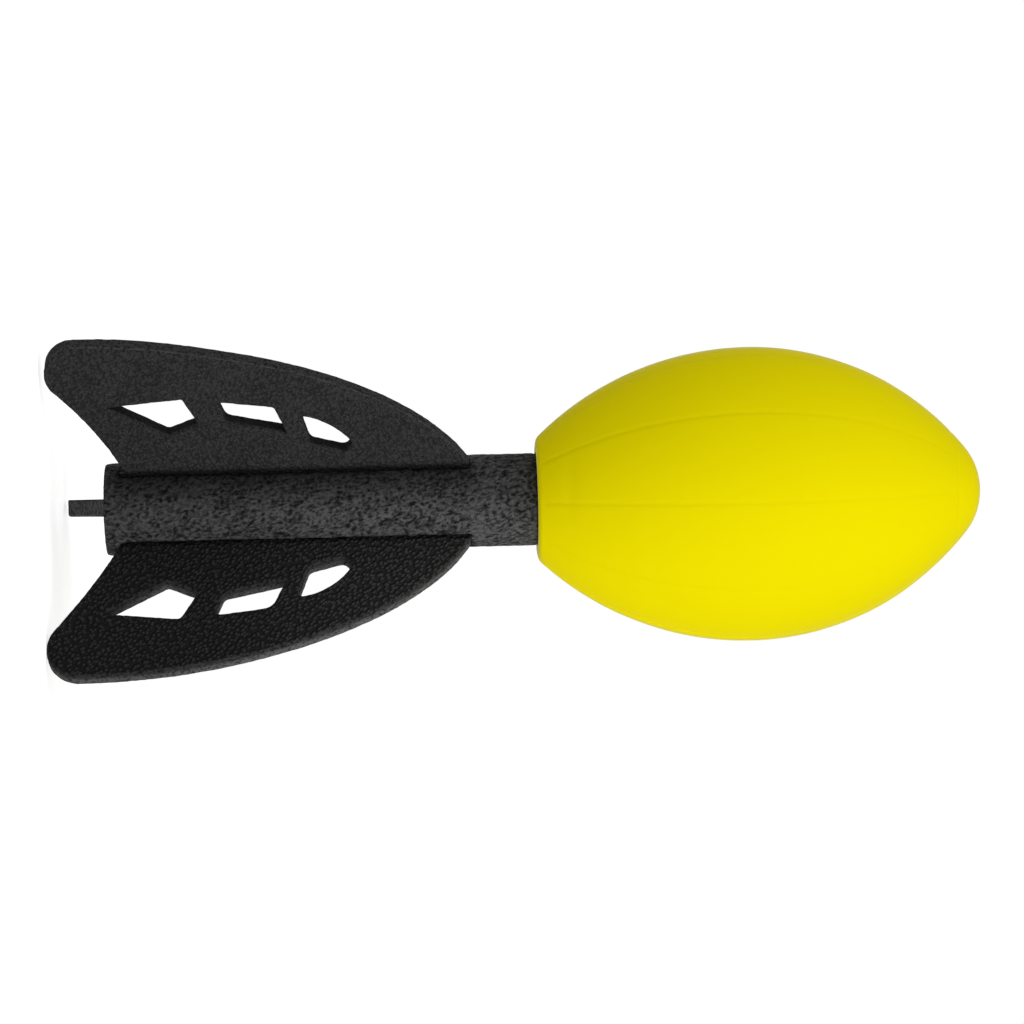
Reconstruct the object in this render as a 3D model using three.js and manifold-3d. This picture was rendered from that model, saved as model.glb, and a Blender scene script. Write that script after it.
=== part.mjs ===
// A foam throwing toy: a moulded football-shaped head on a round foam tail with three foam fins.
// Millimetres, +Z up. It stands on its fin tips, nose up. The origin is the centre of the flat end
// of the tail rod, between the fins, and +Z runs along the rod to the nose.
import * as THREE from "three";
import { mergeVertices } from "three/addons/utils/BufferGeometryUtils.js";
import Module from "manifold-3d";

const wasm = await Module();
wasm.setup();

// Tail rod: a closed-cell foam round, cut square and eased at both ends
const rodRadius = 15.8;
const rodLength = 148.2;
const rodRearRound = 0.8;
const rodFrontRound = 2.6;

// Core tube: a stiff tube glued into the rod from the front and into the head from behind
const coreRadius = 6;
const coreWall = 1.2;
const coreInRod = 108;
const coreInHead = 62;

// Room for the film of glue at every seat
const glueGap = 0.3;

// Head: a rear arc, a front arc and a round nose, all running smoothly into each other
const headRadius = 50.4;
const headRearLength = 71.8;
const headFrontLength = 79.6;
const headRearArc = 104.7;
const noseRadius = 22.8;
const rimRound = 4;
const seatDepth = 1.2;

// Panels: shallow grooves from the rear rim to a faint ring around the nose
const panelCount = 10;
const grooveDepth = 0.7;
const grooveWidth = 2.4;
const grooveTurn = 3.1;
const noseRingRadius = 20;
const noseRingWidth = 1.6;
const noseRingDepth = 0.3;

// Fins: die-cut from foam sheet, each with a root tab glued into a slot in the rod
const finCount = 3;
const finThickness = 6;
const finReach = 64.8;
const finOverhang = 18;
const finRootRear = 5.4;
const finRootLength = 118.6;
const finTipRound = 8.8;
const finFrontAngle = 59;
const finTrailSag = 0.9;
const slotLand = 2.4;
const finTurn = 90;

// How full the leading edge is: the lengths of its two handles along the root length
const leadRootShare = 0.27;
const leadCrownShare = 0.5;
// How far ahead of the centre of the tip's rounding the leading edge ends, along the root length
const crownShare = 0.008;

// Windows in each fin: corners as shares of the root length and of the height over the rod
const kiteShares = [[-0.03, 0.526], [0.182, 0.576], [0.228, 0.379], [0.142, 0.289]];
const slantShares = [[0.279, 0.553], [0.441, 0.502], [0.478, 0.296], [0.302, 0.39]];
const quarterShares = [[0.514, 0.43], [0.667, 0.195], [0.643, 0.131], [0.541, 0.196]];
// Corner radii, and how far the front window's outer side bows out
const kiteRound = 1.2;
const slantRound = 1.4;
const quarterRound = 1.6;
const quarterBow = 1.9;

// Fineness: steps around and along the round forms
const roundSteps = 48;
const panelSteps = 7;
const arcSteps = 12;
const noseSteps = 7;
const easeSteps = 4;
const edgeSteps = 14;
const cornerSteps = 5;
// How far a cutting solid runs past the face that it opens
const overrun = 2;

const rad = THREE.MathUtils.degToRad;
const fullTurn = 2 * Math.PI;

// Finishes
function finish(color, roughness) {
  return new THREE.MeshStandardMaterial({ color, roughness, metalness: 0 });
}
const headFoam = finish(0xf0e300, 0.6);
const rodFoam = finish(0x3a3a3a, 0.85);
const finFoam = finish(0x2b2b2b, 0.75);
const corePlastic = finish(0xd8d8d4, 0.5);

// Solids: geometry to a closed body for cutting, and back again
function toSolid(geometry) {
  const bare = geometry.clone();
  bare.deleteAttribute("normal");
  bare.deleteAttribute("uv");
  const merged = mergeVertices(bare);
  const index = Array.from(merged.index.array);
  const faces = [];
  for (let i = 0; i < index.length; i += 3) {
    const [a, b, c] = index.slice(i, i + 3);
    if (a !== b && b !== c && c !== a) faces.push(a, b, c);
  }
  const vertProperties = new Float32Array(merged.attributes.position.array);
  const triVerts = new Uint32Array(faces);
  return new wasm.Manifold(new wasm.Mesh({ numProp: 3, vertProperties, triVerts }));
}

function toMesh(name, solid, material) {
  const { vertProperties, triVerts } = solid.getMesh();
  const geometry = new THREE.BufferGeometry();
  geometry.setAttribute("position", new THREE.BufferAttribute(new Float32Array(vertProperties), 3));
  geometry.setIndex(new THREE.BufferAttribute(new Uint32Array(triVerts), 1));
  geometry.computeVertexNormals();
  const mesh = new THREE.Mesh(geometry, material);
  mesh.name = name;
  return mesh;
}

// Points of a circular arc in a profile, x out from the axis and y along it; angles from straight out
function arcPoints(x, y, radius, from, to, steps) {
  const points = [];
  for (let i = 0; i <= steps; i++) {
    const angle = from + ((to - from) * i) / steps;
    points.push(new THREE.Vector2(x + radius * Math.cos(angle), y + radius * Math.sin(angle)));
  }
  return points;
}

// A body of revolution about Z from a profile that starts and ends on the axis
function revolve(profile, steps) {
  const geometry = new THREE.LatheGeometry(profile, steps);
  geometry.rotateX(Math.PI / 2);
  return geometry;
}

function plug(radius, from, to) {
  const profile = [[0, from], [radius, from], [radius, to], [0, to]];
  return toSolid(revolve(profile.map(([x, y]) => new THREE.Vector2(x, y)), roundSteps));
}

// Places that more than one piece uses
const coreBore = coreRadius + glueGap;
const slotFloor = coreBore + slotLand;
const seatFloor = rodLength + glueGap;
const headRear = rodLength - seatDepth;
const headWidest = rodLength + headRearLength;
const finHeight = finReach - rodRadius;
const finHalf = finThickness / 2;

// The head's outline, worked out from its sizes
function headProfile() {
  // Rear arc about (rearX, headWidest), cut by the rim's rounding
  const rearX = headRadius - headRearArc;
  const rimY = headRear + rimRound;
  const rimX = rearX + Math.sqrt((headRearArc - rimRound) ** 2 - (headWidest - rimY) ** 2);
  const rimEnd = Math.atan2(rimY - headWidest, rimX - rearX);
  // Front arc that the nose circle touches from inside
  const noseRun = headFrontLength - noseRadius;
  const frontArc = (noseRun ** 2 + headRadius ** 2 - noseRadius ** 2) / (2 * (headRadius - noseRadius));
  const frontX = headRadius - frontArc;
  const noseStart = Math.atan2(noseRun, -frontX);
  // The nose ring, a dip across the front arc
  const ringAt = Math.acos((noseRingRadius - frontX) / frontArc);
  const ringHalf = noseRingWidth / 2 / frontArc;
  const ringFloor = arcPoints(frontX, headWidest, frontArc - noseRingDepth, ringAt, ringAt, 1).slice(1);
  return [
    new THREE.Vector2(0, headRear),
    ...arcPoints(rimX, rimY, rimRound, -Math.PI / 2, rimEnd, easeSteps),
    ...arcPoints(rearX, headWidest, headRearArc, rimEnd, 0, arcSteps).slice(1),
    ...arcPoints(frontX, headWidest, frontArc, 0, ringAt - ringHalf, arcSteps).slice(1),
    ...ringFloor,
    ...arcPoints(frontX, headWidest, frontArc, ringAt + ringHalf, noseStart, easeSteps),
    ...arcPoints(0, headWidest + noseRun, noseRadius, noseStart, Math.PI / 2, noseSteps).slice(1),
  ];
}

// Where the head's points stand around one panel: the groove, its two lips and even steps between
function panelStops() {
  const lip = (grooveWidth / 2) * (panelCount / (fullTurn * headRadius));
  const stops = [0];
  for (let i = 0; i < panelSteps - 1; i++) {
    stops.push(lip + ((1 - 2 * lip) * i) / (panelSteps - 2));
  }
  return stops;
}

// The skin: a smooth revolve whose points gather at the grooves and sink along them
function headSkin() {
  const steps = panelCount * panelSteps;
  const profile = headProfile();
  const skin = revolve(profile, steps);
  const stops = panelStops();
  const place = skin.attributes.position;
  for (let i = 0; i < place.count; i++) {
    const radius = Math.hypot(place.getX(i), place.getY(i));
    const z = place.getZ(i);
    // The revolve lists its points one whole outline after another
    const step = Math.floor(i / profile.length) % steps;
    const panel = Math.floor(step / panelSteps);
    const stop = step % panelSteps;
    const angle = ((panel + stops[stop]) * fullTurn) / panelCount + rad(grooveTurn - finTurn);
    const grooved = stop === 0 && z > headRear && radius > noseRingRadius;
    const sunk = grooved ? radius - grooveDepth : radius;
    place.setXY(i, sunk * Math.cos(angle), sunk * Math.sin(angle));
  }
  return toSolid(skin);
}

// The head: its skin with a shallow seat for the rod's end and a deep bore for the core
function makeHead() {
  const seat = plug(rodRadius + glueGap, headRear - overrun, seatFloor);
  const bore = plug(coreBore, headRear - overrun, rodLength + coreInHead + glueGap);
  return toMesh("head", headSkin().subtract(seat.add(bore)), headFoam);
}

// The rod: eased ends, a blind bore for the core and a slot for each fin's tab
function makeRod() {
  const frontCentre = rodLength - rodFrontRound;
  const outline = [
    new THREE.Vector2(0, 0),
    ...arcPoints(rodRadius - rodRearRound, rodRearRound, rodRearRound, -Math.PI / 2, 0, easeSteps),
    ...arcPoints(rodRadius - rodFrontRound, frontCentre, rodFrontRound, 0, Math.PI / 2, easeSteps),
    new THREE.Vector2(0, rodLength),
  ];
  const bore = plug(coreBore, rodLength - coreInRod - glueGap, rodLength + overrun);
  let rod = toSolid(revolve(outline, roundSteps)).subtract(bore);
  for (const turn of finTurns()) rod = rod.subtract(finSlot(turn));
  return toMesh("tail_rod", rod, rodFoam);
}

function finTurns() {
  return Array.from({ length: finCount }, (_, i) => rad(finTurn) + (i * fullTurn) / finCount);
}

function finSlot(turn) {
  const depth = rodRadius + overrun - slotFloor;
  const length = finRootLength + 2 * glueGap;
  const box = new THREE.BoxGeometry(depth, finThickness + 2 * glueGap, length);
  box.translate(slotFloor + depth / 2, 0, finRootRear + finRootLength / 2);
  box.rotateZ(turn);
  return toSolid(box);
}

// The core: an open tube, as long as its two bores
function makeCore() {
  const [from, to] = [rodLength - coreInRod, rodLength + coreInHead];
  const inner = coreRadius - coreWall;
  const profile = [[inner, from], [coreRadius, from], [coreRadius, to], [inner, to], [inner, from]];
  const ring = revolve(profile.map(([x, y]) => new THREE.Vector2(x, y)), roundSteps);
  return toMesh("core_tube", toSolid(ring), corePlastic);
}

// A place on the fin's sheet, x out from the axis and y along it, from shares of root and height
function onFin([along, up]) {
  return new THREE.Vector2(rodRadius + up * finHeight, finRootRear + along * finRootLength);
}

// The fin's outline: root tab, full leading edge, round tip and hollow trailing edge
function finOutline() {
  const rootFront = finRootRear + finRootLength;
  const tabEdge = slotFloor + glueGap;
  const tip = new THREE.Vector2(finReach - finTipRound, finTipRound - finOverhang);
  const crown = tip.y + crownShare * finRootLength;
  const lead = leadRootShare * finRootLength;
  const root = new THREE.Vector2(rodRadius, finRootRear);
  // The trailing edge leaves the tip's rounding where a straight line from the root would touch it
  const away = root.clone().sub(tip);
  const leave = away.angle() + Math.acos(finTipRound / away.length());
  const outward = new THREE.Vector2(Math.cos(leave), Math.sin(leave));
  const hollow = outward.clone().multiplyScalar(finTipRound).add(tip).lerp(root, 1 / 2);
  hollow.addScaledVector(outward, -2 * finTrailSag);
  const outline = new THREE.Shape();
  outline.moveTo(tabEdge, finRootRear);
  outline.lineTo(tabEdge, rootFront);
  outline.lineTo(rodRadius, rootFront);
  outline.bezierCurveTo(
    rodRadius + lead * Math.sin(rad(finFrontAngle)),
    rootFront - lead * Math.cos(rad(finFrontAngle)),
    finReach,
    crown + leadCrownShare * finRootLength,
    finReach,
    crown,
  );
  outline.absarc(tip.x, tip.y, finTipRound, 0, leave, true);
  outline.quadraticCurveTo(hollow.x, hollow.y, root.x, root.y);
  return outline;
}

// A window with small round corners; its first side bows out, and the others are straight
function windowPath(shares, round, bow = 0) {
  const corners = shares.map(onFin);
  const [start, end] = corners;
  const bowed = start.clone().lerp(end, 1 / 2);
  bowed.addScaledVector(new THREE.Vector2(start.y - end.y, end.x - start.x).normalize(), -2 * bow);
  const path = new THREE.Path();
  corners.forEach((corner, i) => {
    const before = i === 1 ? bowed : corners[(i + corners.length - 1) % corners.length];
    const after = i === 0 ? bowed : corners[(i + 1) % corners.length];
    const from = before.clone().sub(corner).setLength(round).add(corner);
    const to = after.clone().sub(corner).setLength(round).add(corner);
    if (i === 0) path.moveTo(from.x, from.y);
    else if (i === 1) path.quadraticCurveTo(bowed.x, bowed.y, from.x, from.y);
    else path.lineTo(from.x, from.y);
    path.quadraticCurveTo(corner.x, corner.y, to.x, to.y);
  });
  path.closePath();
  return new THREE.Path(path.getPoints(cornerSteps));
}

function makeFin(name, turn) {
  const outline = finOutline();
  outline.holes.push(windowPath(kiteShares, kiteRound));
  outline.holes.push(windowPath(slantShares, slantRound));
  outline.holes.push(windowPath(quarterShares, quarterRound, quarterBow));
  const sheet = new THREE.ExtrudeGeometry(outline, {
    depth: finThickness,
    bevelEnabled: false,
    curveSegments: edgeSteps,
  });
  sheet.translate(0, 0, -finHalf);
  sheet.rotateX(Math.PI / 2);
  sheet.rotateZ(turn);
  return toMesh(name, toSolid(sheet), finFoam);
}

const toy = new THREE.Group();
toy.add(makeHead());
toy.add(makeRod());
toy.add(makeCore());
finTurns().forEach((turn, i) => toy.add(makeFin(`fin_${i + 1}`, turn)));

export default toy;
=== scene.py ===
"""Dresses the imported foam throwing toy: moulded head, foam rod, three foam fins and their stage."""

from math import acos, atan2, ceil, cos, exp, pi, radians, sin, sqrt, tau

import bmesh
import bpy
from bpy.props import FloatProperty, FloatVectorProperty, IntProperty, PointerProperty
from bpy.types import Operator, Panel, PropertyGroup
from mathutils import Matrix, Vector, noise


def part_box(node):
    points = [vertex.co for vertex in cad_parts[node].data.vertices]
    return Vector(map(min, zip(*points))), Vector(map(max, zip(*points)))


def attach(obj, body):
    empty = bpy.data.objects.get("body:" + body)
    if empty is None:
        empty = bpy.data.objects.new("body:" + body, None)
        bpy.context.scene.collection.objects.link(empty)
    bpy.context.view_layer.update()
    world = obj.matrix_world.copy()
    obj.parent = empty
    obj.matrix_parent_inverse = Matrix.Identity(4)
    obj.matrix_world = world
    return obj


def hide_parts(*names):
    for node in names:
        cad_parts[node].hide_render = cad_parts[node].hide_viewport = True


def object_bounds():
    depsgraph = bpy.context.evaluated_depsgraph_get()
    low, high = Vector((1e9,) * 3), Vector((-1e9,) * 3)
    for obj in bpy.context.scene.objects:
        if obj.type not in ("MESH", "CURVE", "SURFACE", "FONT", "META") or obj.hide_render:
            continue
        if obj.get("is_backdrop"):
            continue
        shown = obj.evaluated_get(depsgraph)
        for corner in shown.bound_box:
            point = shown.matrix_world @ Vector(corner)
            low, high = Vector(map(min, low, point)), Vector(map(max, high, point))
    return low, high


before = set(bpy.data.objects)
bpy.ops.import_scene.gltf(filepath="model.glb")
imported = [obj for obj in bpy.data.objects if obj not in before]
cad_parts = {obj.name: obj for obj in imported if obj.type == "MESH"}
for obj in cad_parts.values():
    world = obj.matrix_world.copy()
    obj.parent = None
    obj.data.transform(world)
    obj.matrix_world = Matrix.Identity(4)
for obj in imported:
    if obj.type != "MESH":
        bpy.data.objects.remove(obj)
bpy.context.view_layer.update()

bl_info = {
    "name": "Foam Throwing Toy",
    "version": (1, 0, 0),
    "blender": (4, 5, 0),
    "location": "3D View > Sidebar > Throwing Toy",
    "description": "Builds the foam pieces of a throwing toy around its packed solids",
    "category": "Add Mesh",
}

HEAD_LOW, HEAD_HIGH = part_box("head")
ROD_LOW, ROD_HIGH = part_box("tail_rod")
CORE_LOW, CORE_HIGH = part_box("core_tube")

CORE_BORE = 0.0063  # radius of the blind bores that hold the core tube
GLUE_GAP = 0.0003  # room for the film of glue at a seat
ON_AXIS = 1e-7  # a smaller radius is a point on the axis
FIN_COUNT = 3
FIN_STEP = tau / FIN_COUNT
SHEET_STEP = 0.2  # how far apart the fins' flat sheets lie, so that materials can tell them apart
FINE, PEBBLED, CUT, WINDOW = range(4)  # a fin's materials, in their order
BLACK = (0.0, 0.0, 0.0, 1.0)
WHITE = (1.0, 1.0, 1.0, 1.0)


# Settings


def length(name, text, default):
    return FloatProperty(name=name, description=text, default=default, unit="LENGTH", precision=5)


def lengths(name, text, default):
    """Three lengths: one for each fin, each window or each axis."""
    return FloatVectorProperty(name=name, description=text, default=default, unit="LENGTH", precision=5)


def turn(name, text, degrees):
    return FloatProperty(name=name, description=text, default=radians(degrees), subtype="ANGLE")


def share(name, text, default):
    return FloatProperty(name=name, description=text, default=default, subtype="FACTOR")


def colour(name, text, default):
    return FloatVectorProperty(
        name=name, description=text, default=(*default, 1.0), size=4, min=0.0, max=1.0, subtype="COLOR"
    )


def corners(name, text, default):
    """Corners of a window, along the fin's root and up its height, one after another."""
    flat = [number for corner in default for number in corner]
    return FloatVectorProperty(name=name, description=text, default=flat, size=8)


class HeadSettings(PropertyGroup):
    """Sizes and colours of the moulded head"""

    radius: length("Radius", "Largest radius of the head", 0.0504)
    widest: length("Widest at", "Height of the widest place over the tail's end", 0.22)
    rear_arc: length("Rear arc", "Radius of the arc from the widest place to the tail", 0.1047)
    nose_radius: length("Nose radius", "Radius of the round nose", 0.0228)
    rim_round: length("Rim rounding", "Rounding of the rear rim", 0.004)
    groove_count: IntProperty(name="Grooves", description="Panel grooves around the head", default=10)
    groove_turn: turn("Groove turn", "Direction of the first groove", -87.2)
    groove_depth: length("Groove depth", "Depth of a panel groove", 0.00014)
    groove_width: length("Groove width", "Width of a panel groove", 0.0026)
    panel_sag: length("Panel sag", "How far the skin dips towards a groove", 0.00006)
    ring_radius: length("Nose ring", "Radius of the faint ring where the grooves end", 0.02)
    ring_depth: length("Ring depth", "Depth of the faint ring", 0.0001)
    dent_depth: length("Dent", "Depth of the soft dent beside the tail", 0.0003)
    dent_turn: turn("Dent direction", "Direction of the soft dent", -99)
    parting_height: length("Parting line", "Height of the mould's parting line", 0.0004)
    foam: colour("Foam colour", "Yellow of the moulded foam", (0.914, 0.784, 0.0))
    # Darker yellow for the painted shade in the grooves; the faint random clouds use it as their darker tone
    # too
    crease_shade: colour("Groove colour", "Yellow down in the grooves", (0.86, 0.735, 0.0))


class RodSettings(PropertyGroup):
    """Sizes and colours of the foam tail rod"""

    radius: length("Radius", "Radius of the foam rod", 0.0158)
    front_round: length("Front rounding", "Rounding of the end in the head", 0.0026)
    rear_round: length("Rear rounding", "How far in front of the free end its edge starts to ease", 0.0024)
    rear_ease: length("Rear ease", "How much smaller the radius is at the free end", 0.0007)
    crinkle: length("Crinkle", "Unevenness of the extruded skin", 0.00016)
    lip_pull: length("Lip pull", "How far the skin rolls in at a slot", 0.0008)
    lip_width: length("Lip width", "How far from a slot the skin rolls in", 0.001)
    # Crinkle colours: darker in the hollows, lighter on the ridges; partly real mottling, partly painted
    # shade and highlight
    dark: colour("Dark foam", "Hollows of the crinkled skin", (0.009, 0.009, 0.009))
    light: colour("Light foam", "Ridges of the crinkled skin", (0.109, 0.109, 0.111))


class FinSettings(PropertyGroup):
    """Sizes and colours of the three foam fins"""

    first: turn("First fin", "Direction of the first fin", 90)
    thickness: length("Thickness", "Thickness of the foam sheet", 0.006)
    reach: length("Reach", "How far a fin reaches from the axis", 0.0648)
    overhang: length("Overhang", "How far a fin reaches behind the rod", 0.018)
    root_rear: length("Root start", "Where the root starts, from the rod's free end", 0.0054)
    root_length: length("Root length", "Length of the root along the rod", 0.1186)
    slot_floor: length("Slot floor", "Distance of a slot's floor from the axis", 0.0087)
    gap: length("Glue gap", "Room for the glue around a root tab", GLUE_GAP)
    tip_round: lengths("Tip rounding", "Radius of each fin's tip", (0.0098, 0.0098, 0.0113))
    front_angle: turn("Front angle", "Angle of the leading edge at the rod", 59)
    trail_sag: lengths("Trailing sag", "Hollow of each fin's trailing edge", (0.0009, 0.0017, 0.0007))
    trim: lengths("Trim", "How far each trailing edge is trimmed at the rod", (0.0, 0.002, -0.0009))
    drift: lengths("Window drift", "How far forward each fin's windows are cut", (0.0, 0.0005, -0.0008))
    lead_root: share("Root handle", "Fullness of the leading edge at the rod", 0.27)
    lead_crown: share("Crown handle", "Fullness of the leading edge at the crown", 0.5)
    crown: share("Crown", "Where the leading edge ends ahead of the tip", 0.008)
    kite: corners(
        "Kite window", "Corners of the rear window",
        [(-0.031, 0.521), (0.182, 0.576), (0.228, 0.379), (0.142, 0.289)],
    )
    slant: corners(
        "Slant window", "Corners of the middle window",
        [(0.279, 0.553), (0.441, 0.502), (0.478, 0.296), (0.305, 0.39)],
    )
    quarter: corners(
        "Quarter window", "Corners of the front window",
        [(0.514, 0.43), (0.667, 0.195), (0.643, 0.131), (0.544, 0.196)],
    )
    fine_rounds: lengths("Fine corners", "Window corners at the fine side", (0.0006, 0.0007, 0.001))
    pebbled_rounds: lengths(
        "Pebbled corners", "Window corners at the pebbled side", (0.0012, 0.0022, 0.0018)
    )
    blunt: FloatVectorProperty(
        name="Blunt corners", description="How many times rounder each fin's window corners are",
        default=(1.0, 1.0, 1.5),
    )
    fine_lean: lengths(
        "Fine lean", "How far out each fin's windows are cut at the fine side", (0.0, 0.0, -0.0002)
    )
    pebbled_lean: lengths(
        "Pebbled lean", "How far out each fin's windows are cut at the pebbled side",
        (0.0, 0.00035, -0.0001),
    )
    quarter_bow: length("Window bow", "How far the front window's outer side bows", 0.0019)
    edge_round: length("Fine edge", "Rounding of an edge at the fine side", 0.0004)
    edge_roll: lengths(
        "Pebbled edge", "How far each fin's edge rolls over at the pebbled side", (0.001, 0.0006, 0.0014)
    )
    edge_lean: lengths("Edge lean", "How much less each fin reaches at the fine side", (0.0, 0.0009, 0.0))
    edge_rough: length("Edge roughness", "Unevenness of the die-cut edges", 0.00013)
    warp: length("Warp", "How far the soft sheet bends out of its plane", 0.0007)
    sweep: lengths("Sweep", "How far each fin's tip leans forward", (0.0, 0.0007, -0.0012))
    lift: lengths("Lift", "How far each fin's tip leans outward", (0.0, 0.0003, 0.0001))
    front_lift: lengths("Front lift", "How far each fin's front leans outward", (0.0, -0.0006, 0.0))
    fine: colour("Fine skin", "Finely grained side", (0.048, 0.048, 0.049))
    pebbled: colour("Pebbled skin", "Pebbled side", (0.048, 0.048, 0.049))
    cut: colour("Cut edge", "Die-cut edge", (0.1, 0.1, 0.101))


class StageSettings(PropertyGroup):
    """Floor, lights and camera"""

    floor_radius: length("Floor radius", "Radius of the pale floor", 0.5)
    floor: colour("Floor colour", "Pale floor", (0.78, 0.78, 0.78))
    glow: share("Floor lift", "How much of white the backdrop adds to the lit floor", 0.66)
    ambient: share("Room light", "Even light from all sides", 0.275)
    front: share("Front light", "Strength of the light beside the camera", 0.86)
    side: share("Side light", "Strength of the large light on the right", 1.97)
    top: share("Top light", "Strength of the light above", 1.66)
    back: share("Back light", "Strength of the small light behind the toy", 1.3)
    distance: length("Camera distance", "From the camera to the toy's axis", 1.269)
    aim: lengths("Aim", "Point in the middle of the picture", (0.0042, 0.0, 0.13854))
    rise: turn("Camera rise", "How far the view points upwards", 1.683)
    swing: turn("Camera swing", "How far the view points sideways", 1.079)
    roll: turn("Camera roll", "Turn of the picture past a quarter turn", 1.44)
    lens: FloatProperty(name="Lens", description="Focal length", default=130.07, min=1.0, unit="CAMERA")


# Shader maths


class Wire:
    """An output socket that can be reckoned with. Each operator adds one Math node."""

    def __init__(self, paint, socket):
        self.paint = paint
        self.socket = socket

    def other(self, name):
        """Another output of the same node."""
        return Wire(self.paint, self.socket.node.outputs[name])

    def __add__(self, value):
        return self.paint.maths("ADD", self, value)

    def __radd__(self, value):
        return self.paint.maths("ADD", value, self)

    def __sub__(self, value):
        return self.paint.maths("SUBTRACT", self, value)

    def __rsub__(self, value):
        return self.paint.maths("SUBTRACT", value, self)

    def __mul__(self, value):
        return self.paint.maths("MULTIPLY", self, value)

    def __rmul__(self, value):
        return self.paint.maths("MULTIPLY", value, self)

    def __pow__(self, value):
        return self.paint.maths("POWER", self, value)

    def __rpow__(self, value):
        return self.paint.maths("POWER", value, self)


def find_socket(sockets, key):
    """A socket by its identifier, its name or its number."""
    known = {socket.identifier: socket for socket in sockets}
    return known[key] if key in known else sockets[key]


class Paint:
    """A material or world, and the few ways in which its nodes are made."""

    def __init__(self, data):
        data.use_nodes = True
        self.data = data
        self.tree = data.node_tree
        self.tree.nodes.clear()

    def node(self, kind, settings=None, sockets=None, out=0):
        """A new node: its settings are set first, and then its sockets get values or links."""
        made = self.tree.nodes.new(kind)
        for key, value in (settings or {}).items():
            setattr(made, key, value)
        for key, value in (sockets or {}).items():
            socket = find_socket(made.inputs, key)
            if isinstance(value, Wire):
                self.tree.links.new(value.socket, socket)
            else:
                socket.default_value = value
        return Wire(self, find_socket(made.outputs, out)) if made.outputs else None

    def maths(self, operation, *values):
        return self.node("ShaderNodeMath", {"operation": operation}, dict(enumerate(values)))

    def place(self):
        """Where a point lies on the toy, in metres."""
        return self.node("ShaderNodeTexCoord", out="Object")

    def attribute(self, name, out="Fac"):
        return self.node("ShaderNodeAttribute", {"attribute_name": name}, out=out)

    def parts(self, vector):
        x = self.node("ShaderNodeSeparateXYZ", None, {"Vector": vector})
        return x, x.other("Y"), x.other("Z")

    def turned(self, vector, angle):
        """A vector turned about Z."""
        sockets = {"Vector": vector, "Angle": angle}
        return self.node("ShaderNodeVectorRotate", {"rotation_type": "Z_AXIS"}, sockets)

    def scaled(self, vector, factors):
        return self.node("ShaderNodeVectorMath", {"operation": "MULTIPLY"}, {0: vector, 1: factors})

    def shifted(self, vector, offset, amount):
        sockets = {0: offset, 1: (amount,) * 3, 2: vector}
        return self.node("ShaderNodeVectorMath", {"operation": "MULTIPLY_ADD"}, sockets)

    def dimmed(self, shade, factor):
        """A colour with its brightness changed from place to place."""
        return self.scaled(shade, self.node("ShaderNodeCombineXYZ", None, dict.fromkeys("XYZ", factor)))

    def noise(self, vector, pitch, detail=2.0, roughness=0.5, out=0):
        """Cloudy noise whose lumps are about pitch metres apart."""
        sockets = {"Vector": vector, "Scale": 1 / pitch, "Detail": detail, "Roughness": roughness}
        return self.node("ShaderNodeTexNoise", {"noise_dimensions": "3D"}, sockets, out)

    def cells(self, vector, pitch, flat=False):
        """Distance from the middle of the nearest of many cells, about pitch metres apart."""
        settings = {"voronoi_dimensions": "2D" if flat else "3D", "feature": "F1"}
        return self.node("ShaderNodeTexVoronoi", settings, {"Vector": vector, "Scale": 1 / pitch})

    def between(self, value, low, high, to_low=0.0, to_high=1.0):
        """value carried smoothly from low..high to to_low..to_high, and held at the ends."""
        sockets = {"Value": value, "From Min": low, "From Max": high, "To Min": to_low, "To Max": to_high}
        return self.node("ShaderNodeMapRange", {"interpolation_type": "SMOOTHSTEP"}, sockets)

    def blend(self, factor, first, second):
        sockets = {"Factor_Float": factor, "A_Color": first, "B_Color": second}
        return self.node("ShaderNodeMix", {"data_type": "RGBA"}, sockets, "Result_Color")

    def bump(self, height, depth):
        return self.node("ShaderNodeBump", None, {"Height": height, "Distance": depth})

    def finish(self, **sockets):
        """Ends the material in one Principled shader."""
        named = {key.replace("_", " "): value for key, value in sockets.items()}
        return self.surface(self.node("ShaderNodeBsdfPrincipled", None, named))

    def surface(self, shader, kind="ShaderNodeOutputMaterial"):
        self.node(kind, None, {"Surface": shader})
        return self.data

    def backdrop_rays(self):
        """1 for rays from the camera and for mirrored or refracted ones, and 0 for the rest."""
        seen = self.node("ShaderNodeLightPath", out="Is Camera Ray")
        bent = self.maths("MAXIMUM", seen.other("Is Glossy Ray"), seen.other("Is Transmission Ray"))
        return self.maths("MAXIMUM", seen, bent)


def fresh_paint(name):
    return Paint(bpy.data.materials.new(name))


def shaded(shade, factor=1.0):
    """A setting's colour with its brightness changed."""
    return (*(factor * value for value in shade[:3]), 1.0)


# Materials


def head_foam(size):
    """Smooth moulded foam skin: faint clouds, fine pores, and painted shade down in the grooves."""
    paint = fresh_paint("head_foam")
    place = paint.place()
    hollow = paint.attribute("hollow")
    clouds = paint.noise(place, pitch=0.03, detail=3.0)
    pores = paint.noise(place, pitch=0.0006, roughness=0.6)
    # Painted shade down in the grooves, after the groove mask
    base = paint.blend(hollow * 0.8, shaded(size.foam), shaded(size.crease_shade))
    # Faint random clouds of the same darker yellow
    base = paint.blend((1 - clouds) * 0.12, base, shaded(size.crease_shade))
    skin = pores * 0.6 + clouds * 0.4
    return paint.finish(
        Base_Color=base,
        Roughness=paint.between(pores, 0.3, 0.7, 0.62, 0.74),
        Specular_IOR_Level=0.01,
        Sheen_Weight=0.36,
        Sheen_Roughness=0.2,
        Normal=paint.bump(skin, 0.00001),
    )


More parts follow.
